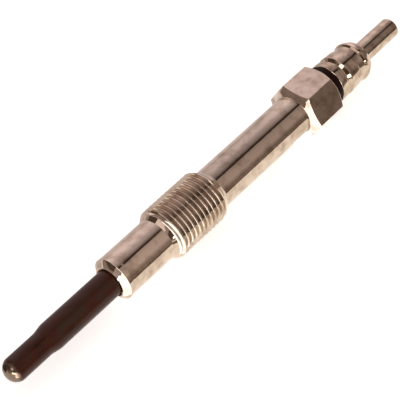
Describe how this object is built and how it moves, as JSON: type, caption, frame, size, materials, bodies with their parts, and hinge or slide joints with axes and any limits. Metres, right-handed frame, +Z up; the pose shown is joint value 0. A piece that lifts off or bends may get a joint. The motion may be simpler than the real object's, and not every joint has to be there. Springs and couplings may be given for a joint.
{
  "type": "diesel glow plug",
  "caption": "Slim turned plug with a closed glow tube, a threaded and hexagonal body, and a round nut with a push-on pin.",
  "frame": {"origin": "middle of the plug's length, on the surface that it lies on", "axes": "+X along the axis from the glow tube to the terminal pin, +Z up, square to the hexagon flat that it lies on"},
  "size_m": [0.1032, 0.0116, 0.01],
  "materials": {
    "plated_steel": "bright nickel plate",
    "oxidised_alloy": "dark heat oxide",
    "heating_wire": "drawn resistance wire",
    "control_wire": "drawn nickel wire",
    "magnesia": "pressed powder",
    "brown_rubber": "matt",
    "bare_steel": "turned",
    "green_rubber": "matt",
    "black_insulator": "moulded",
    "plated_cap_steel": "bright nickel plate"
  },
  "bodies": {
    "root": {"threaded_body": "plated_steel", "glow_tube": "oxidised_alloy", "heating_coil": "heating_wire", "control_coil": "control_wire", "magnesia_filling": "magnesia", "tube_seal": "brown_rubber", "terminal_stud": "bare_steel", "body_seal": "green_rubber", "insulating_washer": "black_insulator", "terminal_cap": "plated_cap_steel"}
  },
  "joints": []
}
